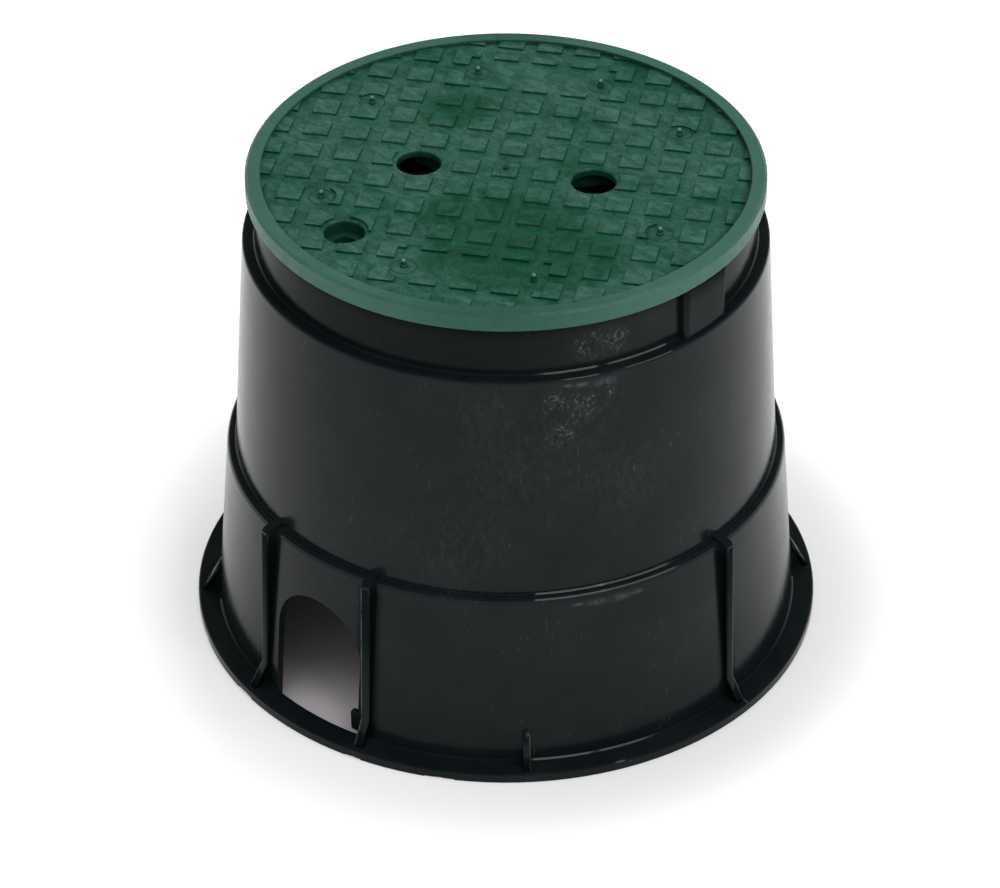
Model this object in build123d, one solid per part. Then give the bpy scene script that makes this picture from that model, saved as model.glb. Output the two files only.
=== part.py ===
from build123d import *
import math
import os

# Round irrigation valve box: one black stepped body, open at the bottom, and one green lid.
# Millimetres. The origin is the centre of the base, +Z is up, the pipe openings face -Y and +Y.

# Heights of the body
flange_t = 5.0
ledge_z = 99.3
shoulder_z = 219.8
collar_top_z = 250.0
wall_t = 4.0

# The foot of the lower wall, and the widths and tapers that lead out to the flange and in to the collar
lower_foot_r = 148.2
flange_w = 11.1
lower_taper = 7.2
ledge_w = 4.4
upper_taper = 7.0
shoulder_w = 6.1
collar_draft = 0.8
ledge_round = 2.8
shoulder_round = 1.6
round_steps = (0.0, 38.0, 56.0, 90.0)
crease_chamfer = 0.7
flange_edge_chamfer = 0.6
rim_chamfer = 0.8

# The seam of every turned face stands here, clear of the pipe openings
seam_angle = 135.0

# Chips out of the lower edge of the flange: (angle, length) of each
chip_depth = 0.9
chip_h = 1.1
chips = [(-122.7, 7.0), (-104.5, 12.0), (-77.3, 9.0), (-60.7, 15.0)]

# Arched pipe openings, low in the front and back of the body
arch_w = 54.0
arch_offset = 2.1
arch_top_z = 74.0
arch_foot_gap = 0.4
arch_reach_in = 12.0
stub_w = 5.2
stub_h = 12.0
stub_t = 2.0
stub_z = 11.8
stub_corner_round = 1.5

# Ribs and gussets on the lower wall
rib_t = 4.8
rib_depth = 5.4
rib_kink_z = 17.0
rib_foot_gap = 2.7
rib_top_drop = 1.2
rib_top_slope = 0.9
rib_root_rise = 2.0
rib_spread = 13.3
gusset_t = 3.8
gusset_h = 19.0
gusset_foot_gap = 2.1
fin_edge_chamfer = 0.6

# Blocks on the collar, above the ribs that stand at right angles to the pipe openings
block_w = 30.6
block_gap = 2.2
block_lid_gap = 0.4
block_edge_round = 3.0

# Lid, turned on the body as it was set down
lid_turn = 30.0
lid_skirt_t = 3.3
lid_edge_t = 9.0
lid_seat_gap = 1.0
lid_rim_t = 6.4
lid_rim_w = 7.5
panel_drop = 2.4
lid_edge_chamfer = 1.3
lid_rim_chamfer = 0.5

# Raised squares on the lid
square_pitch = 19.7
square_w = 12.6
square_h = 1.2
square_draft = 22.0
least_area = 2.0
bare_half_w = 37.2
bare_in = 76.0
bare_out = 100.0

# Pegs on the lid, each in its own small clearing
peg_r = 2.0
peg_tip_r = 0.9
peg_h = 3.8
peg_clear_r = 7.4
peg_places = [(31.3, 86.0), (77.4, 48.5), (82.8, -40.0), (31.3, -90.5)]

# Finger holes, the bolt hole and the mark of the moulding gate
finger_r = 11.0
finger_x = 43.4
finger_clear_r = 13.0
bolt_wall_gap = 25.9
bolt_bearing = -134.3
bolt_r = 5.6
bolt_head_r = 10.0
bolt_head_depth = 6.7
bolt_shelf_t = 3.0
bolt_tube_t = 3.0
bolt_clear_r = 11.6
gate_r = 1.4
gate_h = 1.6
hole_edge_chamfer = 0.8

# Stiffening under the lid
locate_gap = 1.2
locate_t = 3.0
locate_h = 12.0
lid_rib_t = 2.6
lid_rib_h = 9.0
lid_rib_count = 8
hub_r = 20.0

# Boss for the lid bolt, inside the body
boss_gap = 0.6
boss_r = 9.0
boss_h = 30.0
boss_bore_r = 3.6
boss_bore_depth = 25.0
web_t = 6.0
web_h = 34.0
web_gap = 2.0

# Sizes that follow from the ones above
flange_r = lower_foot_r + flange_w
lower_top_r = lower_foot_r - lower_taper
upper_foot_r = lower_top_r - ledge_w
upper_top_r = upper_foot_r - upper_taper
collar_foot_r = upper_top_r - shoulder_w
collar_top_r = collar_foot_r - collar_draft
rib_r = lower_top_r + rib_depth
rib_foot_r = flange_r - rib_foot_gap
rib_top_z = ledge_z - rib_top_drop
gusset_foot_r = flange_r - gusset_foot_gap
lid_seat_z = collar_top_z
lid_r = collar_top_r + lid_seat_gap + lid_skirt_t
lid_top_z = lid_seat_z + lid_rim_t
panel_z = lid_top_z - panel_drop
skirt_z = lid_top_z - lid_edge_t
rim_in_r = lid_r - lid_rim_w
square_top_z = panel_z + square_h
square_rows = math.ceil(rim_in_r / square_pitch)
locate_r = collar_top_r - wall_t - locate_gap
bolt_away = collar_foot_r - wall_t - bolt_wall_gap
bolt_place = (
    bolt_away * math.cos(math.radians(bolt_bearing)),
    bolt_away * math.sin(math.radians(bolt_bearing)),
)
bolt_shelf_z = panel_z - bolt_head_depth
bolt_tube_z = bolt_shelf_z - bolt_shelf_t
boss_top_z = bolt_tube_z - boss_gap
bite = 0.6


def lower_r(z):
    # Outer radius of the lower wall at height z
    share = (z - flange_t) / (ledge_z - flange_t)
    return lower_foot_r + share * (lower_top_r - lower_foot_r)


def upper_r(z):
    # Outer radius of the upper wall at height z
    share = (z - ledge_z) / (shoulder_z - ledge_z)
    return upper_foot_r + share * (upper_top_r - upper_foot_r)


def revolved(points, seam=seam_angle):
    # A ring with the given section, points as (radius, height)
    return Rot(0, 0, seam) * revolve(Plane.XZ * make_face(Polyline(*points, close=True)), Axis.Z)


def stepped_round(r, z, size):
    # The rounded outer edge of a step as points on its arc, which starts on the wall of radius r
    turns = [math.radians(step) for step in round_steps]
    return [(r - size + size * math.cos(turn), z - size + size * math.sin(turn)) for turn in turns]


def ring_edges(shape, radius, height, reach=0.05):
    # The circular edges of a turned solid at one radius and height
    found = []
    for edge in shape.edges().filter_by(GeomType.CIRCLE):
        centre = edge.arc_center
        on_axis = math.hypot(centre.X, centre.Y) < reach
        if on_axis and abs(edge.radius - radius) < reach and abs(centre.Z - height) < reach:
            found.append(edge)
    return found


def body_shell():
    # The stepped skin, one section turned about the axis
    under_ledge = ledge_z - wall_t
    under_shoulder = shoulder_z - wall_t
    outer = [
        (flange_r, 0),
        (flange_r, flange_t),
        (lower_foot_r, flange_t),
        *stepped_round(lower_r(ledge_z - ledge_round), ledge_z, ledge_round),
        (upper_foot_r, ledge_z),
        *stepped_round(upper_r(shoulder_z - shoulder_round), shoulder_z, shoulder_round),
        (collar_foot_r, shoulder_z),
        (collar_top_r, collar_top_z),
    ]
    inner = [
        (collar_top_r - wall_t, collar_top_z),
        (collar_foot_r - wall_t, under_shoulder),
        (upper_r(under_shoulder) - wall_t, under_shoulder),
        (upper_foot_r - wall_t, under_ledge),
        (lower_r(under_ledge) - wall_t, under_ledge),
        (lower_r(0) - wall_t, 0),
    ]
    shell = revolved(outer + inner)
    cut = [
        (crease_chamfer, [(lower_foot_r, flange_t), (upper_foot_r, ledge_z), (collar_foot_r, shoulder_z)]),
        (flange_edge_chamfer, [(flange_r, flange_t)]),
        (rim_chamfer, [(collar_top_r, collar_top_z)]),
    ]
    for width, places in cut:
        for r, z in places:
            shell = chamfer(ring_edges(shell, r, z), width)
    return shell


def fin(points, thickness, angle, soft_r=None):
    # A flat fin with the given (radius, height) outline, standing at an angle from +X.
    # Its long edges are chamfered where they lie further out than soft_r.
    face = Plane.XZ * make_face(Polyline(*points, close=True))
    plate = extrude(face, thickness / 2, both=True)
    if soft_r:
        free = [edge for edge in plate.edges() if edge.center().X > soft_r]
        long_ones = [edge for edge in free if abs(edge.center().Y) > thickness / 4]
        clear = [edge for edge in long_ones if edge.center().Z > flange_t + bite]
        plate = chamfer(clear, fin_edge_chamfer)
    return Rot(0, 0, angle) * plate


def rib(angle):
    # Tall rib: plumb outer edge, splayed foot on the flange, a root that climbs the upper wall
    root_z = ledge_z + rib_root_rise
    points = [
        (lower_r(0) - wall_t / 2, flange_t - bite),
        (rib_foot_r, flange_t - bite),
        (rib_foot_r, flange_t),
        (rib_r, rib_kink_z),
        (rib_r, rib_top_z),
        (rib_r - rib_top_slope, rib_top_z + rib_top_slope),
        (upper_r(root_z), root_z),
        (upper_r(root_z) - wall_t / 2, root_z),
        (upper_foot_r - wall_t / 2, ledge_z - wall_t / 2),
        (lower_top_r - wall_t / 2, ledge_z - wall_t / 2),
    ]
    return fin(points, rib_t, angle, (lower_foot_r + lower_top_r) / 2)


def gusset(angle):
    # Low triangular web between the lower wall and the flange
    top_z = flange_t + gusset_h
    points = [
        (lower_r(0) - wall_t / 2, flange_t - bite),
        (gusset_foot_r, flange_t - bite),
        (gusset_foot_r, flange_t),
        (lower_r(top_z), top_z),
        (lower_r(top_z) - wall_t / 2, top_z),
    ]
    return fin(points, gusset_t, angle, lower_r(top_z))


def arch_cut(angle):
    # A round-headed opening through the lower wall, down to the top of the flange, off the middle
    radius = arch_w / 2
    spring_z = arch_top_z - radius
    outline = Pos(arch_offset, 0) * make_face(
        Curve() + [
            Line((-radius, flange_t), (radius, flange_t)),
            Line((radius, flange_t), (radius, spring_z)),
            ThreePointArc((radius, spring_z), (0, arch_top_z), (-radius, spring_z)),
            Line((-radius, spring_z), (-radius, flange_t)),
        ]
    )
    inner = lower_top_r - arch_reach_in
    tool = Pos(0, -inner, 0) * extrude(Plane.XZ * outline, flange_r - inner)
    # Below the flange's top the cut takes the wall alone, so the flange runs on past the opening
    ring = Circle(lower_foot_r - arch_foot_gap) - Circle(inner)
    sill = ring & (Pos(arch_offset, -flange_r) * Rectangle(arch_w, 2 * (flange_r - inner)))
    tool += Pos(0, 0, -bite) * extrude(sill, flange_t + 2 * bite)
    return Rot(0, 0, angle) * tool


def chip(angle, length):
    # A shallow bite out of the flange's lower edge, its ends running out to nothing
    depth_in = flange_r - chip_depth
    outline = make_face(Polyline((flange_r, -length / 2), (flange_r, length / 2), (depth_in, 0), close=True))
    reach = Pos(flange_r, 0) * Rectangle(2 * bite, length)
    return Rot(0, 0, angle) * extrude(outline + reach, chip_h)


def knockout_stub():
    # The scrap left on one jamb of the front opening where its plug was broken out
    jamb = arch_offset + arch_w / 2
    y = -math.sqrt((lower_r(stub_z) - wall_t / 2) ** 2 - jamb**2)
    block = Box(stub_w + bite, stub_t, stub_h)
    block = fillet(block.edges().filter_by(Axis.Y), stub_corner_round)
    turn = math.degrees(math.atan2(jamb, -y))
    return Pos(jamb - (stub_w - bite) / 2, y, stub_z) * Rot(0, 0, turn) * block


def collar_block(angle):
    # Block on the collar, its face just inside the edge of the shoulder, its top just under the lid
    face_r = upper_top_r - block_gap
    height = skirt_z - block_lid_gap - shoulder_z
    ring = Circle(face_r) - Circle(collar_top_r - wall_t / 2)
    span = Pos(face_r, 0) * Rectangle(face_r, block_w)
    block = extrude(Pos(0, 0, shoulder_z - bite) * (ring & span), height + bite)
    upright = block.edges().filter_by(Axis.Z)
    outer = [edge for edge in upright if math.hypot(edge.center().X, edge.center().Y) > collar_foot_r]
    return Rot(0, 0, angle) * fillet(outer, block_edge_round)


def on_lid(u, v):
    # A place on the lid, given in the lid's own axes, in the axes of the body
    turn = math.radians(lid_turn)
    return (u * math.cos(turn) - v * math.sin(turn), u * math.sin(turn) + v * math.cos(turn))


def bolt_boss():
    # Boss under the bolt hole, joined to the wall by a web
    x, y = on_lid(*bolt_place)
    away = math.hypot(x, y)
    angle = math.degrees(math.atan2(y, x))
    boss_low_z = boss_top_z - boss_h
    web_top_z = lid_seat_z - locate_h - web_gap
    web_low_z = web_top_z - web_h
    boss = Pos(away, 0, boss_low_z) * Cylinder(
        boss_r, boss_h, align=(Align.CENTER, Align.CENTER, Align.MIN)
    )
    inner_top_r = collar_foot_r - wall_t
    points = [
        (away, web_top_z),
        (inner_top_r + bite, web_top_z),
        (inner_top_r + bite, shoulder_z - wall_t + bite),
        (upper_r(web_low_z) - wall_t + bite, shoulder_z - wall_t + bite),
        (upper_r(web_low_z) - wall_t + bite, web_low_z),
        (away, boss_low_z),
    ]
    web = fin(points, web_t, 0)
    bore = Pos(away, 0, boss_top_z) * Cylinder(
        boss_bore_r, boss_bore_depth, align=(Align.CENTER, Align.CENTER, Align.MAX)
    )
    return Rot(0, 0, angle) * (boss + web - bore)


def box_body():
    body = body_shell()
    for front in (-90, 90):
        for side in (-rib_spread, rib_spread):
            body += rib(front + side)
    for side in (0, 180):
        body += rib(side)
        body += collar_block(side)
    for corner in (45, 135, 225, 315):
        body += gusset(corner)
    for turn in (0, 180):
        body -= arch_cut(turn)
    for angle, length in chips:
        body -= chip(angle, length)
    body += knockout_stub()
    return body + bolt_boss()


def lid_plate():
    # Rim, panel and skirt of the lid, one section turned about the axis
    skirt_in_r = collar_top_r + lid_seat_gap
    section = [
        (0, lid_seat_z),
        (skirt_in_r, lid_seat_z),
        (skirt_in_r, skirt_z),
        (lid_r, skirt_z),
        (lid_r, lid_top_z),
        (rim_in_r, lid_top_z),
        (rim_in_r, panel_z),
        (0, panel_z),
    ]
    plate = revolved(section, seam_angle - lid_turn)
    plate = chamfer(ring_edges(plate, lid_r, lid_top_z), lid_edge_chamfer)
    return chamfer(ring_edges(plate, rim_in_r, lid_top_z), lid_rim_chamfer)


def peg_spots():
    spots = []
    for u, v in peg_places:
        spots += [(u, v), (-u, v)]
    return spots


def raised_squares():
    # The grid of squares, trimmed by the rim and by the clearings. Whole ones have sloping sides.
    reach = range(-square_rows, square_rows + 1)
    places = [(i * square_pitch, j * square_pitch) for i in reach for j in reach]
    clear = [Pos(u, v) * Circle(peg_clear_r) for u, v in peg_spots()]
    clear += [Pos(side * finger_x, 0) * Circle(finger_clear_r) for side in (-1, 1)]
    clear += [Pos(*bolt_place) * Circle(bolt_clear_r)]
    bare_mid = (bare_in + bare_out) / 2
    bare = Rectangle(2 * bare_half_w, bare_out - bare_in)
    clear += [Pos(0, bare_mid) * bare, Pos(0, -bare_mid) * bare]
    clear += [Circle(2 * lid_r) - Circle(rim_in_r)]
    half = square_w / 2
    shapes = []
    for u, v in places:
        if math.hypot(abs(u) - half, abs(v) - half) > rim_in_r:
            continue
        trimmed = Pos(u, v) * Rectangle(square_w, square_w) - clear
        if trimmed is None:
            continue
        for face in trimmed.faces():
            if face.area > least_area:
                whole = len(face.edges()) == 4 and math.isclose(face.area, square_w**2)
                base = Pos(0, 0, panel_z) * face
                shapes.append(extrude(base, square_h, taper=square_draft if whole else 0))
    return shapes


def peg(u, v):
    cone = Cone(peg_r, peg_tip_r, peg_h + bite, align=(Align.CENTER, Align.CENTER, Align.MIN))
    return Pos(u, v, panel_z - bite) * cone


def underside():
    # Locating ring, hub and radial ribs below the panel, and the tube round the bolt head
    ring = Circle(locate_r) - Circle(locate_r - locate_t)
    parts = extrude(Pos(0, 0, lid_seat_z - locate_h) * ring, locate_h + bite)
    hub = Circle(hub_r) - Circle(hub_r - lid_rib_t)
    parts += extrude(Pos(0, 0, lid_seat_z - lid_rib_h) * hub, lid_rib_h + bite)
    for k in range(lid_rib_count):
        angle = (k + 0.5) * 360 / lid_rib_count
        length = locate_r - hub_r - locate_t / 2 + lid_rib_t / 2
        middle = hub_r - lid_rib_t / 2 + length / 2
        bar = Box(length, lid_rib_t, lid_rib_h + bite, align=(Align.CENTER, Align.CENTER, Align.MIN))
        parts += Rot(0, 0, angle) * Pos(middle, 0, lid_seat_z - lid_rib_h) * bar
    tube = Circle(bolt_head_r + bolt_tube_t)
    parts += extrude(Pos(*bolt_place, bolt_tube_z) * tube, lid_seat_z - bolt_tube_z + bite)
    return parts


def lid():
    body = lid_plate() + raised_squares()
    for u, v in peg_spots():
        body += peg(u, v)
    body += Pos(0, 0, square_top_z - bite) * Cylinder(
        gate_r, gate_h + bite, align=(Align.CENTER, Align.CENTER, Align.MIN)
    )
    body += underside()
    tall = lid_top_z - bolt_tube_z
    for side in (-1, 1):
        body -= Pos(side * finger_x, 0, bolt_tube_z) * extrude(Circle(finger_r), 2 * tall)
    body -= Pos(*bolt_place, bolt_shelf_z) * extrude(Circle(bolt_head_r), 2 * tall)
    body -= Pos(*bolt_place, bolt_tube_z - tall) * extrude(Circle(bolt_r), 2 * tall)
    mouths = [(side * finger_x, 0, finger_r) for side in (-1, 1)] + [(*bolt_place, bolt_head_r)]
    for u, v, radius in mouths:
        body -= Pos(u, v, panel_z - hole_edge_chamfer) * Cone(
            radius,
            radius + 2 * hole_edge_chamfer,
            2 * hole_edge_chamfer,
            align=(Align.CENTER, Align.CENTER, Align.MIN),
        )
    return Rot(0, 0, lid_turn) * body


os.makedirs("parts", exist_ok=True)
for name, shape in (("box_body", box_body()), ("lid", lid())):
    export_step(shape, f"parts/{name}.step")
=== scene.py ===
import bpy
import math
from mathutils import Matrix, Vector


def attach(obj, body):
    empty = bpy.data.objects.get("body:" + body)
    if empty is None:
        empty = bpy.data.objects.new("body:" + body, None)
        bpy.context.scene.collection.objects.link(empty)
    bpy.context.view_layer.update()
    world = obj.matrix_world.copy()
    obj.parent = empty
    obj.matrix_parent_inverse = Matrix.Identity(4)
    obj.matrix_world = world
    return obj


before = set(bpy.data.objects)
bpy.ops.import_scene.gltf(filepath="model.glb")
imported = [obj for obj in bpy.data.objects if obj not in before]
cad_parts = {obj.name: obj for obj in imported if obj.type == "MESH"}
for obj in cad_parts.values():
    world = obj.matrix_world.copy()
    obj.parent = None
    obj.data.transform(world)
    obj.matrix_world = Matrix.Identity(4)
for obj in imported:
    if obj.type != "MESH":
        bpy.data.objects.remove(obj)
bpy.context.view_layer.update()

# Round irrigation valve box. Metres. The pipe openings face -Y and +Y, +Z is up.
# A pair of distances is a band, from where a mask starts to where it is full.

# The camera stands where the photographer's did and looks at a point on the box's axis
CAMERA_AZIMUTH = 41.2
CAMERA_ELEVATION = 36.26
CAMERA_DISTANCE = 2.286
CAMERA_AIM_Z = 0.0895
CAMERA_LENS = 162.0
CAMERA_SENSOR = 36.0
CAMERA_SHIFT_X = -0.006
TO_THE_RIGHT = (math.cos(math.radians(CAMERA_AZIMUTH)), math.sin(math.radians(CAMERA_AZIMUTH)), 0.0)

# Soft lamps: degrees round from the camera and above the floor, distance, width, height, watts
LAMP_AIM_Z = 0.15
LAMPS = {
    "top_softbox": (168, 74, 2.4, 1.40, 1.10, 7),
    "edge_softbox_near": (30, 50, 2.2, 0.80, 0.34, 7),
    "edge_softbox_far": (60, 44, 2.2, 1.10, 0.34, 8),
}

# The sky's strength, where 1 is white: low and high on the object, and overhead in a gloss.
# Its bands are heights of a unit direction.
SKY_LOW = 0.53
SKY_HIGH = 0.92
SKY_BAND = (0.0, 0.8)
CEILING_IN_GLOSS = 0.12
CEILING_BAND = (0.10, 0.40)

# The floor is pale paper. Its light is lifted round the box, less at the foot than farther out.
# The lift is stronger on the left and weaker close to the foot on the right.
FLOOR_SIZE = 14.0
FLOOR_Z = -0.0002
FLOOR_SIDES = 96
FLOOR_PAPER = 0.90
FLOOR_SEEN = 0.72
FLOOR_LIFT = 0.28
FLOOR_LIFT_FAR = 0.46
SHADOW_BAND = (0.175, 0.240)
LEFT_BAND = (-0.20, -0.13)
LEFT_LIFT = 0.10
LEFT_FROM = (0.162, 0.182)
FOOT_BAND = (-0.10, 0.14)
FOOT_SHADE = (0.03, 0.14)
FOOT_REACH = (0.165, 0.215)

# Inside the box the floor has painted shade, darker away from the foot of the front pipe opening and a little
# less green
FOOTPRINT = (0.152, 0.158)
INSIDE_BAND = (0.146, 0.152)
INSIDE_TINT = 0.06
ARCH_FOOT = (0.0021, -0.1470, 0.0)
ARCH_BAND = (0.010, 0.055)
ARCH_DEEP = 0.58

# Ribs and gussets of the body: their outer edges, as (radius, height) down each one, and where
# they stand, in degrees from +X. Past LEFT_SIDE, the sine of the turn from the camera, they count
# as on the box's left.
RIB_EDGE = [(0.14642, 0.0970), (0.14915, 0.0172), (0.15665, 0.0050)]
RIB_FOLD = 76.7
RIB_TURNS = (RIB_FOLD - 180.0, -RIB_FOLD, RIB_FOLD, 180.0 - RIB_FOLD, 0.0, 180.0)
RIB_T = 0.0049
RIB_TOP = RIB_EDGE[0]
RIB_LEAN = (RIB_EDGE[1][0] - RIB_EDGE[0][0]) / (RIB_EDGE[0][1] - RIB_EDGE[1][1])
GUSSET_EDGE = [(0.1469, 0.0238), (0.15725, 0.0050)]
GUSSET_TURNS = (-45.0, 45.0, 135.0, -135.0)
GUSSET_T = 0.0039
EDGE_ROUND = 0.0008
EDGE_DEPTH = 0.0030
QUARTER_STEPS = (0, 30, 60, 90)
LEFT_SIDE = -0.3

# Colours of the black plastic, its painted shade and the grey of wear and painted highlights, and sizes in
# its pattern
BLACK_DEEP = (0.0046, 0.0078, 0.0086, 1.0)
BLACK_PALE = (0.0068, 0.0106, 0.0112, 1.0)
WORN_AND_HIGHLIGHT_GREY = (0.105, 0.112, 0.112, 1.0)
SHADE_BLACK = (0.0030, 0.0040, 0.0042, 1.0)
BLACK_SHEEN = 0.11
BLACK_ROUGHNESS = (0.15, 0.20)
PATCH_SIZE = 0.030
SPECK_SIZE = 0.0012
CRUMB_SIZE = 0.0019
CLUMP_SIZE = 0.0070
HAZE_SIZE = 0.0030
HIGHLIGHT_SMEAR_SIZE = 0.0035
DRAG_STRETCH = (1.0, 1.0, 0.24)
HAZE_STRETCH = (1.0, 1.0, 0.6)
SHEEN_SIZE = 0.012
WAVE_SIZE = 0.045
WAVE_DEPTH = 0.0004
GRAIN_SIZE = 0.0009
GRAIN_DEPTH = 0.00004

# Wear on the body, and painted highlights, as (x, y, z, reach). The smears are painted highlights on the edge
# rounds: they lie along an edge and are three times as wide as tall.
WEAR_AND_HIGHLIGHTS = {
    "scuffs": [
        (0.1011, -0.0820, 0.2075, 0.0085), (0.1098, -0.0704, 0.2040, 0.0130),
        (0.1040, -0.0801, 0.1892, 0.0105), (0.1139, -0.0630, 0.2079, 0.0100),
        (0.1064, -0.0618, 0.2325, 0.0110), (0.1122, -0.0505, 0.2321, 0.0100),
    ],
    "haze": [
        (0.1080, -0.0740, 0.1960, 0.044), (0.0885, -0.0983, 0.1712, 0.050),
        (0.1210, -0.0557, 0.1574, 0.048), (0.0782, -0.1044, 0.2000, 0.034),
        (0.1090, -0.0560, 0.2323, 0.028), (0.0700, -0.1180, 0.1250, 0.045),
    ],
    "highlight_smears": [
        (0.1150, -0.0610, 0.2152, 0.0085), (0.1090, -0.0705, 0.2156, 0.0060),
        (0.1050, -0.0760, 0.2160, 0.0040), (0.1270, -0.0620, 0.0932, 0.0095),
        (0.1215, -0.0722, 0.0934, 0.0080), (0.1165, -0.0802, 0.0938, 0.0050),
        (0.1310, -0.0535, 0.0936, 0.0060),
    ],
}
HIGHLIGHT_FLATNESS = 3.0
SHARE = {"scuffs": 1.9, "haze": 0.12, "dashes": 0.20, "specks": 0.24, "highlight_smears": 0.50}
WEAR_ROUGHNESS = 0.25
WEAR_RELIEF = 0.8

# Turned edges of the body that handling has polished: (radius, height, reach)
POLISHED = [
    (0.1366, 0.0997, 0.0011),
    (0.1405, 0.0985, 0.0013),
    (0.1235, 0.2202, 0.0011),
    (0.1292, 0.2193, 0.0009),
    (0.1482, 0.0053, 0.0011),
    (0.1590, 0.0047, 0.0009),
]
POLISHED_CORE = 0.7
POLISH_GAIN = 0.12

# The painted highlight down one corner of each rib: across it from its middle, out from its edge, at its foot
# and its top
CORNER_HIGHLIGHT = 0.9
CORNER_NEAR = (0.0013, 0.0019)
CORNER_FAR = (0.0027, 0.0025)
CORNER_OUT = (-0.0012, -0.0006)
CORNER_FOOT = (0.0040, 0.0060)
CORNER_TOP = (0.0990, 0.0970)
CORNER_SIZE = 0.0040
CORNER_STRETCH = (1.0, 1.0, 0.3)

# Painted shade, a dark matt sheet: on the collar, except where it shines, under the lid and beside the ribs
COLLAR_BAND = (0.2200, 0.2225)
COLLAR_SHADE = 0.45
SHINY_COLLAR = [(0.1100, -0.0550, 0.2320, 0.045), (0.1180, -0.0300, 0.2320, 0.040)]
SHINE = 0.40
UNDER_LID_BAND = (0.2380, 0.2475)
UNDER_LID_SHADE = 0.35
BESIDE_RIB = (0.0026, 0.0080)
BESIDE_RIB_FROM = (0.0022, 0.0024)
BESIDE_RIB_SHADE = 0.85
BESIDE_RIB_TOP = (0.0900, 0.0985)
BESIDE_RIB_FOOT = (0.0055, 0.0085)
BESIDE_RIB_RADIUS = (0.1400, 0.1405)

# The lid's own heights and radii, and its pegs in its own axes
LID_TURN = 30.0
PANEL_Z = 0.2540
RIM_INNER = 0.1195
PEG_PLACES = [(0.0313, 0.0860), (0.0774, 0.0485), (0.0828, -0.0400), (0.0313, -0.0905)]
PEG_RING_R = 0.0062
PEG_RING_W = 0.00028
PEG_RING_H = 0.00022
PEG_RING_STEPS = 64

# Bands on the lid: across the rim's inner wall, and above the panel. The corner, sides, pegs and sunk bands
# place painted shade, the tips band a painted highlight.
RIM_BAND = (-0.0004, 0.0006)
RIM_CORNER = (-0.0042, -0.0004)
TOPS_BAND = (0.0004, 0.0011)
SIDES_FOOT = (0.0001, 0.0003)
SIDES_TOP = (0.0011, 0.0008)
PEGS_BAND = (0.0014, 0.0017)
TIPS_BAND = (0.0029, 0.0034)
SUNK_BAND = (-0.0022, -0.0006)

# Colours of the green plastic: clean and dull, each from darker to lighter, then the rim, the veins, the
# painted shade that the dark flecks share, and the painted highlight on the peg tips
DEEP_GREENS = ((0.0012, 0.046, 0.022, 1.0), (0.0045, 0.078, 0.041, 1.0))
DULL_GREENS = ((0.016, 0.083, 0.055, 1.0), (0.045, 0.138, 0.100, 1.0))
RIM_GREENS = ((0.040, 0.122, 0.086, 1.0), (0.017, 0.078, 0.054, 1.0))
VEIN_GREEN = (0.080, 0.170, 0.130, 1.0)
FLECK_AND_SHADE_GREEN = (0.0025, 0.030, 0.018, 1.0)
TIP_HIGHLIGHT_GREEN = (0.110, 0.250, 0.200, 1.0)
GREEN_SHEEN = 0.20
GREEN_ROUGHNESS = (0.34, 0.50)
CLOUD_SIZE = 0.055
SWIRL_SIZE = 0.013
WIPE_SIZE = 0.0040
WIPE_STRETCH = (0.45, 1.0, 1.0)
VEIN_SIZE = 0.009
FLECK_SIZE = 0.0019
DENT_SIZE = 0.0060
DENT_DEPTH = 0.00060
LID_GRAIN_SIZE = 0.0012
LID_GRAIN_DEPTH = 0.00007

# Clean places on the panel and on the rim, and the far side of the lid, which the rim shades
CLEAN_LID = [
    (0.0441, -0.0471, 0.254, 0.055), (0.0126, -0.0401, 0.254, 0.030),
    (0.0700, -0.0350, 0.254, 0.035), (-0.0558, 0.026, 0.254, 0.022),
]
CLEAN_RIM = [(0.0810, -0.0925, 0.256, 0.085), (-0.0800, 0.0930, 0.256, 0.045)]
FAR_SIDE = (0.50, 0.87, 0.0)
FAR_BAND = (0.02, 0.09)


class Wire:
    """An output in a finish. Arithmetic on it adds Math nodes."""

    def __init__(self, finish, socket):
        self.finish = finish
        self.socket = socket

    def maths(self, operation, *terms):
        return self.finish.add("ShaderNodeMath", {"operation": operation}, dict(enumerate(terms)))

    def __add__(self, other):
        return self.maths("ADD", self, other)

    def __sub__(self, other):
        return self.maths("SUBTRACT", self, other)

    def __rsub__(self, other):
        return self.maths("SUBTRACT", other, self)

    def __mul__(self, other):
        return self.maths("MULTIPLY", self, other)

    def __abs__(self):
        return self.maths("ABSOLUTE", self)

    def or_more(self, other):
        return self.maths("MAXIMUM", self, other)

    def at_most(self, limit):
        return self.maths("MINIMUM", self, limit)

    __radd__ = __add__
    __rmul__ = __mul__


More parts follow.
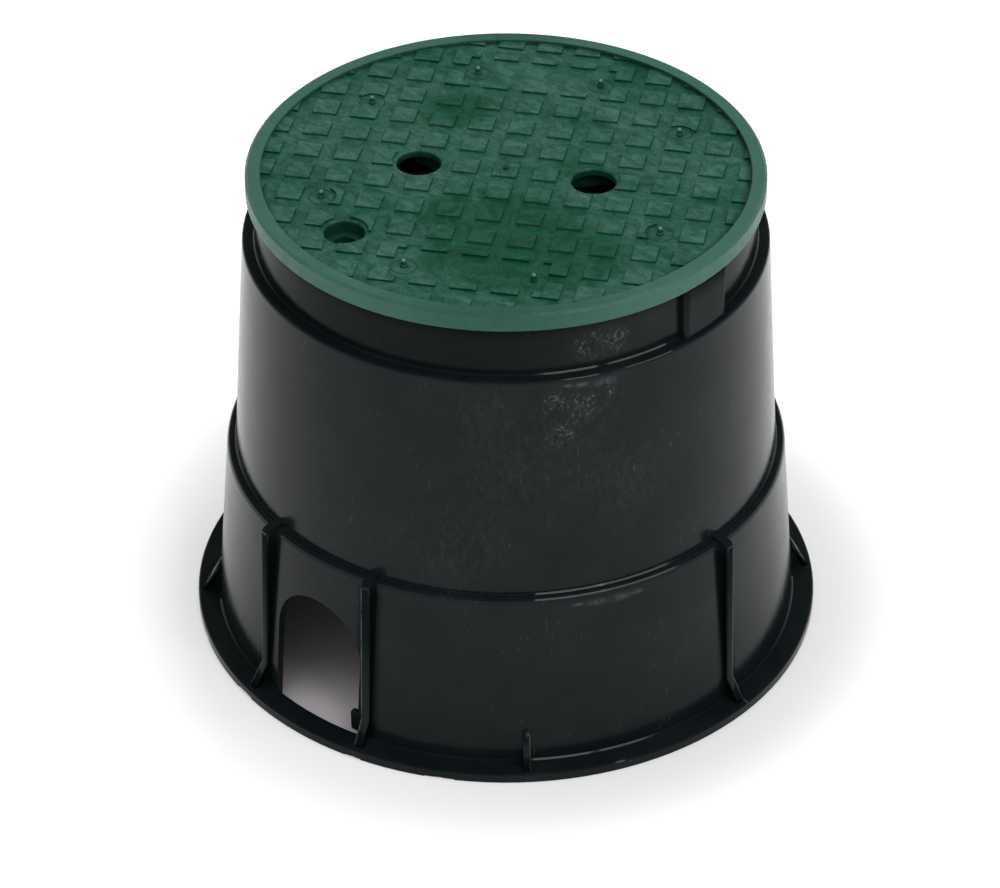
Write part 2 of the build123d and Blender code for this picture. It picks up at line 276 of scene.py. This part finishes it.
class Finish:
    """A material, made of nodes that are added one by one."""

    def __init__(self, tree):
        self.tree = tree
        tree.nodes.clear()

    def add(self, kind, settings, sockets, out=0):
        node = self.tree.nodes.new(kind)
        for name, value in settings.items():
            setattr(node, name, value)
        for key, value in sockets.items():
            if isinstance(value, Wire):
                self.tree.links.new(value.socket, node.inputs[key])
            else:
                node.inputs[key].default_value = value
        return Wire(self, node.outputs[out])

    def place(self):
        return self.add("ShaderNodeTexCoord", {}, {}, "Object")

    def coordinate(self, place, axis):
        return self.add("ShaderNodeSeparateXYZ", {}, {0: place}, axis)

    def stretched(self, place, scale):
        return self.add("ShaderNodeVectorMath", {"operation": "MULTIPLY"}, {0: place, 1: scale})

    def length(self, place):
        return self.add("ShaderNodeVectorMath", {"operation": "LENGTH"}, {0: place}, 1)

    def distance_from_axis(self, place):
        return self.length(self.stretched(place, (1.0, 1.0, 0.0)))

    def distance(self, place, other):
        return self.add("ShaderNodeVectorMath", {"operation": "DISTANCE"}, {0: place, 1: other}, 1)

    def along(self, place, direction):
        return self.add("ShaderNodeVectorMath", {"operation": "DOT_PRODUCT"}, {0: place, 1: direction}, 1)

    def noise(self, place, size, detail=2.0, rough=0.5, warp=0.0):
        values = {"Vector": place, "Scale": 1 / size, "Detail": detail, "Roughness": rough}
        values["Distortion"] = warp
        return self.add("ShaderNodeTexNoise", {}, values)

    def fade(self, value, band, start=0.0, end=1.0, level=0.0):
        """From start to end while the value crosses the band, which is counted from the level"""
        settings = {"interpolation_type": "SMOOTHSTEP"}
        low, high = level + band[0], level + band[1]
        return self.add("ShaderNodeMapRange", settings, {0: value, 1: low, 2: high, 3: start, 4: end})

    def near(self, place, spots):
        """1 at the spots, falling to 0 at each one's reach"""
        total = None
        for x, y, z, reach in spots:
            spot = self.fade(self.distance(place, (x, y, z)), (0.0, reach), 1.0, 0.0)
            total = spot.or_more(total) if total else spot
        return total

    def rings(self, away, height, places):
        """1 on each ring round the axis, falling to 0 at its reach"""
        section = self.add("ShaderNodeCombineXYZ", {}, {0: away, 1: height})
        total = None
        for radius, level, reach in places:
            gap = self.distance(section, (radius, level, 0.0))
            ring = self.fade(gap, (POLISHED_CORE * reach, reach), 1.0, 0.0)
            total = ring.or_more(total) if total else ring
        return total

    def blend(self, share, first, second):
        return self.add("ShaderNodeMix", {"data_type": "RGBA"}, {0: share, 6: first, 7: second}, 2)

    def bump(self, height, depth, below=None):
        values = {"Height": height, "Distance": depth}
        if below:
            values["Normal"] = below
        return self.add("ShaderNodeBump", {}, values)

    def plastic(self, colour, roughness, sheen, normal):
        values = {"Base Color": colour, "Roughness": roughness, "Specular IOR Level": sheen, "Normal": normal}
        return self.add("ShaderNodeBsdfPrincipled", {}, values)

    def show(self, surface, output="ShaderNodeOutputMaterial"):
        self.tree.links.new(surface.socket, self.tree.nodes.new(output).inputs["Surface"])


def new_finish(name):
    material = bpy.data.materials.new(name)
    material.use_nodes = True
    return material, Finish(material.node_tree)


def wear_and_highlight_marks(f, place, patches):
    """Scuffs and haze where the box has them, painted highlight smears on the ledge and shoulder rounds, and
    drag marks and specks in patches
    """
    drag_map = f.stretched(place, DRAG_STRETCH)
    haze_map = f.stretched(place, HAZE_STRETCH)
    highlight_map = f.stretched(place, (1.0, 1.0, HIGHLIGHT_FLATNESS))
    dashes = f.fade(f.noise(drag_map, SPECK_SIZE, 1.0, 0.4), (0.68, 0.76)) * f.fade(patches, (0.46, 0.62))
    specks = f.fade(f.noise(place, SPECK_SIZE, 1.0, 0.5), (0.72, 0.80)) * f.fade(patches, (0.48, 0.66))
    crumbs = f.fade(f.noise(place, CRUMB_SIZE, 6.0, 0.88, 0.3), (0.51, 0.62))
    clumps = f.fade(f.noise(place, CLUMP_SIZE, 4.0, 0.7), (0.40, 0.58))
    scuffs = f.near(place, WEAR_AND_HIGHLIGHTS["scuffs"]) * crumbs * clumps
    haze = f.near(place, WEAR_AND_HIGHLIGHTS["haze"]) * f.fade(f.noise(haze_map, HAZE_SIZE, 6.0, 0.85, 0.3), (0.42, 0.66))
    # Painted highlights: pale smears on the rounds of the ledge and the shoulder, where light catches them
    highlight_spots = [(x, y, HIGHLIGHT_FLATNESS * z, reach) for x, y, z, reach in WEAR_AND_HIGHLIGHTS["highlight_smears"]]
    highlight_smears = f.near(highlight_map, highlight_spots) * f.fade(f.noise(place, HIGHLIGHT_SMEAR_SIZE, 5.0, 0.8), (0.30, 0.62))
    wear_and_highlight = scuffs * SHARE["scuffs"] + haze * SHARE["haze"] + dashes * SHARE["dashes"]
    wear_and_highlight = wear_and_highlight + specks * SHARE["specks"] + highlight_smears * SHARE["highlight_smears"]
    return wear_and_highlight.at_most(1.0)


def corner_highlights(f, place, away, height):
    """A painted highlight: a pale line down one corner of each rib and gusset, patchy along it"""
    across = f.coordinate(place, "Y")
    edge_out = away - (RIB_TOP[1] - height) * RIB_LEAN - RIB_TOP[0]
    painted_corner = f.fade(across, CORNER_NEAR) * f.fade(across, CORNER_FAR) * f.fade(edge_out, CORNER_OUT)
    painted_corner = painted_corner * f.fade(height, CORNER_FOOT) * f.fade(height, CORNER_TOP)
    patchy = f.noise(f.stretched(place, CORNER_STRETCH), CORNER_SIZE, 4.0, 0.7)
    return painted_corner * f.fade(patchy, (0.25, 0.60))


def shade_beside_ribs(f, place, away, height):
    """Painted shade in the corners between the lower wall and its ribs, which stand alike in each quarter"""
    folded = f.add("ShaderNodeVectorMath", {"operation": "ABSOLUTE"}, {0: place})
    total = None
    for side in (0.0, math.radians(RIB_FOLD)):
        gap = abs(f.along(folded, (-math.sin(side), math.cos(side), 0.0)))
        band = f.fade(gap, BESIDE_RIB, BESIDE_RIB_SHADE, 0.0) * f.fade(gap, BESIDE_RIB_FROM)
        total = band.or_more(total) if total else band
    low = f.fade(height, BESIDE_RIB_TOP, 1.0, 0.0) * f.fade(height, BESIDE_RIB_FOOT)
    return total * low * f.fade(away, BESIDE_RIB_RADIUS)


def black_plastic():
    """Black moulded plastic: a soft sheen, fine drag marks down the walls, a few pale scuffs, painted
    highlights on edges and rib corners, and painted shade as a dark matt sheet
    """
    material, f = new_finish("black_plastic")
    place = f.place()
    away = f.distance_from_axis(place)
    height = f.coordinate(place, "Z")
    patches = f.noise(place, PATCH_SIZE, 3.0, 0.6)
    wear_and_highlight = wear_and_highlight_marks(f, place, patches)
    colour = f.blend(f.fade(patches, (0.3, 0.7)), BLACK_DEEP, BLACK_PALE)
    # The pale grey carries both the wear and the painted highlight smears
    colour = f.blend(wear_and_highlight, colour, WORN_AND_HIGHLIGHT_GREY)
    # Painted highlight down one corner of each rib and gusset
    colour = f.blend(corner_highlights(f, place, away, height) * CORNER_HIGHLIGHT, colour, WORN_AND_HIGHLIGHT_GREY)
    polished = f.rings(away, height, POLISHED)
    roughness = f.fade(f.noise(place, SHEEN_SIZE, 3.0, 0.6), (0.3, 0.7), *BLACK_ROUGHNESS)
    roughness = roughness + wear_and_highlight * WEAR_ROUGHNESS - polished * POLISH_GAIN
    grain = f.noise(place, GRAIN_SIZE, 2.0, 0.6)
    normal = f.bump(f.noise(place, WAVE_SIZE, 1.0, 0.5), WAVE_DEPTH)
    normal = f.bump((grain + wear_and_highlight * WEAR_RELIEF) * (1.0 - polished), GRAIN_DEPTH, normal)
    plastic = f.plastic(colour, roughness, BLACK_SHEEN, normal)
    # A dark matt sheet of painted shade on the collar, under the lid and beside the ribs
    painted_shade = f.add("ShaderNodeBsdfDiffuse", {}, {"Color": SHADE_BLACK})
    on_collar = f.fade(height, COLLAR_BAND) * (COLLAR_SHADE - SHINE * f.near(place, SHINY_COLLAR))
    under_lid = f.fade(height, UNDER_LID_BAND) * UNDER_LID_SHADE
    shaded = on_collar + under_lid + shade_beside_ribs(f, place, away, height)
    f.show(f.add("ShaderNodeMixShader", {}, {0: shaded, 1: plastic, 2: painted_shade}))
    return material


def green_plastic():
    """Green moulded plastic: cloudy, deep green where it is clean and greyer where it has dulled, with
    painted shade in its recesses and a painted highlight on the peg tips
    """
    material, f = new_finish("green_plastic")
    place = f.place()
    height = f.coordinate(place, "Z")
    away = f.distance_from_axis(place)
    rim = f.fade(away, RIM_BAND, level=RIM_INNER)
    panel = 1.0 - rim
    painted_corner = f.fade(away, RIM_CORNER, level=RIM_INNER) * panel
    tops = f.fade(height, TOPS_BAND, level=PANEL_Z) * panel
    shaded_sides = f.fade(height, SIDES_FOOT, level=PANEL_Z) * f.fade(height, SIDES_TOP, level=PANEL_Z) * panel
    shaded_pegs = f.fade(height, PEGS_BAND, level=PANEL_Z) * panel
    tip_highlights = f.fade(height, TIPS_BAND, level=PANEL_Z) * panel
    sunk_shade = f.fade(height, SUNK_BAND, 1.0, 0.0, PANEL_Z) * panel

    clouds = f.noise(place, CLOUD_SIZE, 3.0, 0.6, 1.2)
    swirls = f.noise(place, SWIRL_SIZE, 5.0, 0.70, 1.6)
    wipes = f.noise(f.stretched(place, WIPE_STRETCH), WIPE_SIZE, 5.0, 0.75, 0.6)
    clean = f.near(place, CLEAN_LID)
    dull = clouds * 0.58 + swirls * 0.46 + wipes * 0.16 - clean * 0.70 + tops * 0.06 + rim * 0.20
    deep_tone = f.blend(f.fade(swirls, (0.35, 0.62)), *DEEP_GREENS)
    dull_tone = f.blend(f.fade(wipes, (0.38, 0.62)), *DULL_GREENS)
    colour = f.blend(f.fade(dull, (0.36, 0.84)), deep_tone, dull_tone)
    colour = f.blend(rim * 0.80, colour, f.blend(f.near(place, CLEAN_RIM), *RIM_GREENS))
    veins = f.fade(f.noise(place, VEIN_SIZE, 6.0, 0.78, 2.0), (0.55, 0.64)) * f.fade(clouds, (0.42, 0.58))
    colour = f.blend(veins * panel * 0.30, colour, VEIN_GREEN)

    flecks = f.fade(f.noise(place, FLECK_SIZE, 3.0, 0.7), (0.56, 0.68)) * f.fade(swirls, (0.42, 0.58))
    far_side = f.fade(f.along(place, FAR_SIDE), FAR_BAND)
    # Painted shade on the squares' sides, the pegs, the holes below the panel and the rim's inner corner,
    # together with the plastic's own dark flecks
    flecks_and_shade = flecks * panel * 0.60 + (shaded_sides + shaded_pegs) * 0.80 + sunk_shade * 0.80
    flecks_and_shade = flecks_and_shade + painted_corner * (far_side * 0.55 + 0.25)
    colour = f.blend(flecks_and_shade.at_most(0.9), colour, FLECK_AND_SHADE_GREEN)
    # Painted highlight on the peg tips
    colour = f.blend(tip_highlights * 0.8, colour, TIP_HIGHLIGHT_GREEN)

    roughness = f.fade(swirls, (0.3, 0.7), *GREEN_ROUGHNESS)
    dents = f.noise(place, DENT_SIZE, 4.0, 0.6, 0.6) * (1.0 - rim * 0.8)
    normal = f.bump(dents, DENT_DEPTH)
    normal = f.bump(f.noise(place, LID_GRAIN_SIZE, 3.0, 0.7), LID_GRAIN_DEPTH, normal)
    f.show(f.plastic(colour, roughness, GREEN_SHEEN, normal))
    return material


def dress(node, material):
    """Gives a CAD node its finish"""
    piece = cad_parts[node]
    piece.data.materials.clear()
    piece.data.materials.append(material)


def add_piece(name, mesh, material, place=(0, 0, 0), turn=0.0):
    """Links a small piece that rides on the box, set at its place and turned round its own upright"""
    piece = bpy.data.objects.new(name, mesh)
    piece.location = place
    piece.rotation_euler = (0, 0, math.radians(turn))
    piece.data.materials.append(material)
    bpy.context.scene.collection.objects.link(piece)
    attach(piece, "root")


def ring_mesh(name):
    """A fine raised ring with a peaked section, flat on its underside"""
    rows = [(PEG_RING_R - PEG_RING_W, 0.0), (PEG_RING_R, PEG_RING_H), (PEG_RING_R + PEG_RING_W, 0.0)]
    points = []
    faces = []
    for step in range(PEG_RING_STEPS):
        turn = 2 * math.pi * step / PEG_RING_STEPS
        points += [(math.cos(turn) * radius, math.sin(turn) * radius, up) for radius, up in rows]
        a, b = 3 * step, 3 * ((step + 1) % PEG_RING_STEPS)
        faces += [(a + 1, a, b, b + 1), (a + 2, a + 1, b + 1, b + 2), (a, a + 2, b + 2, b)]
    mesh = bpy.data.meshes.new(name)
    mesh.from_pydata(points, [], faces)
    return mesh


def peg_rings(material):
    """The fine rings that the moulding pins left round the pegs"""
    turn = math.radians(LID_TURN)
    for number, (u, v) in enumerate(PEG_PLACES):
        for side, word in ((-1, "left"), (1, "right")):
            x = side * u * math.cos(turn) - v * math.sin(turn)
            y = side * u * math.sin(turn) + v * math.cos(turn)
            name = "peg_ring_%d_%s" % (number + 1, word)
            # Each ring's finish is counted from its own place, where its height is near zero, so the lid's
            # painted shade for sunk parts makes it dark
            add_piece(name, ring_mesh(name), material, (x, y, PANEL_Z))


def edge_mesh(name, edge, thickness, facing):
    """The outer edge of a rib, with rounded corners: one section carried down the edge's line"""
    half = thickness / 2
    right = []
    for step in QUARTER_STEPS:
        across = half - EDGE_ROUND + EDGE_ROUND * math.cos(math.radians(step))
        right.append((across, EDGE_ROUND * math.sin(math.radians(step)) - EDGE_ROUND))
    left = [(-across, out) for across, out in reversed(right)]
    section = [(half, -EDGE_DEPTH)] + right + left + [(-half, -EDGE_DEPTH)]
    count = len(section)
    points = [(facing * (radius + out), across, level) for radius, level in edge for across, out in section]
    ends = [tuple(range(count)), tuple(reversed(range((len(edge) - 1) * count, len(edge) * count)))]
    faces = list(ends)
    for row in range(len(edge) - 1):
        for step in range(count):
            a, b = row * count + step, row * count + (step + 1) % count
            faces.append((a, a + count, b + count, b))
    if facing < 0:
        faces = [tuple(reversed(face)) for face in faces]
    mesh = bpy.data.meshes.new(name)
    mesh.from_pydata(points, [], faces)
    for number, face in enumerate(mesh.polygons):
        face.use_smooth = number >= len(ends)
    return mesh


def fin_edges(kind, edge, thickness, turns, material):
    """Strips along the ribs' outer edges. A painted highlight runs down the right corner, and on the box's
    left down the left one.
    """
    for number, turn in enumerate(turns):
        name = "%s_edge_%d" % (kind, number + 1)
        sideways = math.sin(math.radians(turn + 90.0 - CAMERA_AZIMUTH))
        facing = -1 if sideways < LEFT_SIDE else 1
        mesh = edge_mesh(name, edge, thickness, facing)
        half_turn = 0.0 if facing > 0 else 180.0
        add_piece(name, mesh, material, turn=turn + half_turn)


def seen_directly(f):
    """1 for what the camera sees itself, in a gloss or through a clear part, 0 for light on the object"""
    total = None
    for name in ("Is Camera Ray", "Is Glossy Ray", "Is Transmission Ray"):
        ray = f.add("ShaderNodeLightPath", {}, {}, name)
        total = ray.or_more(total) if total else ray
    return total


def studio_floor():
    """Pale paper. The box's own foot keeps its contact shadow, with painted shadow and light round it, and
    the rest is lifted towards white.
    """
    material, f = new_finish("studio_floor")
    place = f.place()
    away = f.length(place)
    across = f.along(place, TO_THE_RIGHT)
    direct = seen_directly(f)
    # Painted shade on the floor inside the box
    depth_in = f.fade(f.distance(place, ARCH_FOOT), ARCH_BAND, 1.0, ARCH_DEEP)
    inside_shade = f.fade(f.distance_from_axis(place), INSIDE_BAND, 1.0, 0.0)
    tone = (direct * (FLOOR_SEEN - FLOOR_PAPER) + FLOOR_PAPER) * (1.0 - inside_shade * (1.0 - depth_in))
    paper = f.add("ShaderNodeCombineColor", {}, {0: tone, 1: tone * (1.0 - inside_shade * INSIDE_TINT), 2: tone})
    lift = f.fade(away, SHADOW_BAND, FLOOR_LIFT, FLOOR_LIFT_FAR)
    # Painted light and shadow on the floor: the extra lift on the left paints over the shadow there, and the
    # cut at the foot on the right paints a darker contact shadow
    lift = lift + f.fade(across, LEFT_BAND, LEFT_LIFT, 0.0) * f.fade(away, LEFT_FROM)
    lift = lift - f.fade(across, FOOT_BAND, *FOOT_SHADE) * f.fade(away, FOOT_REACH, 1.0, 0.0)
    sheet = f.add("ShaderNodeBsdfDiffuse", {}, {"Color": paper})
    glow = f.add("ShaderNodeEmission", {}, {"Color": direct * f.fade(away, FOOTPRINT) * lift})
    f.show(f.add("ShaderNodeAddShader", {}, {0: sheet, 1: glow}))
    bpy.ops.mesh.primitive_circle_add(
        vertices=FLOOR_SIDES, radius=FLOOR_SIZE / 2, fill_type="NGON", location=(0, 0, FLOOR_Z))
    floor = bpy.context.object
    floor.name = "studio_floor"
    floor.data.materials.append(material)


def studio_sky():
    """White behind the box. On the object it is softer low down, and in a gloss darker overhead."""
    world = bpy.data.worlds.new("studio_sky")
    bpy.context.scene.world = world
    world.use_nodes = True
    f = Finish(world.node_tree)
    up = f.coordinate(f.add("ShaderNodeTexCoord", {}, {}, "Generated"), "Z")
    on_object = f.fade(up, SKY_BAND, SKY_LOW, SKY_HIGH)
    in_gloss = f.fade(up, CEILING_BAND, 1.0, CEILING_IN_GLOSS)
    shown = in_gloss.or_more(f.add("ShaderNodeLightPath", {}, {}, "Is Camera Ray"))
    direct = seen_directly(f)
    strength = direct * shown + (1.0 - direct) * on_object
    f.show(f.add("ShaderNodeBackground", {}, {"Color": strength}), "ShaderNodeOutputWorld")


def direction(azimuth, elevation):
    """The way from the box to a point that stands so many degrees round from -Y and above the floor"""
    turn = math.radians(azimuth)
    rise = math.radians(elevation)
    return Vector((math.sin(turn) * math.cos(rise), -math.cos(turn) * math.cos(rise), math.sin(rise)))


def set_up(name, kit, height, away, distance):
    """Stands a lamp or a camera away from the box's axis, aimed at the height on it"""
    holder = bpy.data.objects.new(name, kit)
    holder.location = Vector((0, 0, height)) + away * distance
    holder.rotation_mode = "QUATERNION"
    holder.rotation_quaternion = away.to_track_quat("Z", "Y")
    bpy.context.scene.collection.objects.link(holder)
    return holder


def softbox(name, azimuth, elevation, distance, width, height, power):
    lamp = bpy.data.lights.new(name, "AREA")
    lamp.shape = "RECTANGLE"
    lamp.size = width
    lamp.size_y = height
    lamp.energy = power
    set_up(name, lamp, LAMP_AIM_Z, direction(CAMERA_AZIMUTH + azimuth, elevation), distance)


def photographer():
    lens = bpy.data.cameras.new("photographer")
    lens.lens = CAMERA_LENS
    lens.sensor_width = CAMERA_SENSOR
    lens.sensor_fit = "HORIZONTAL"
    lens.shift_x = CAMERA_SHIFT_X
    back = direction(CAMERA_AZIMUTH, CAMERA_ELEVATION)
    bpy.context.scene.camera = set_up("photographer", lens, CAMERA_AIM_Z, back, CAMERA_DISTANCE)


body_finish = black_plastic()
dress("box_body", body_finish)
fin_edges("rib", RIB_EDGE, RIB_T, RIB_TURNS, body_finish)
fin_edges("gusset", GUSSET_EDGE, GUSSET_T, GUSSET_TURNS, body_finish)
lid_finish = green_plastic()
dress("lid", lid_finish)
peg_rings(lid_finish)
studio_floor()
studio_sky()
for lamp_name, lamp_values in LAMPS.items():
    softbox(lamp_name, *lamp_values)
photographer()
bpy.context.scene.view_settings.view_transform = "Standard"
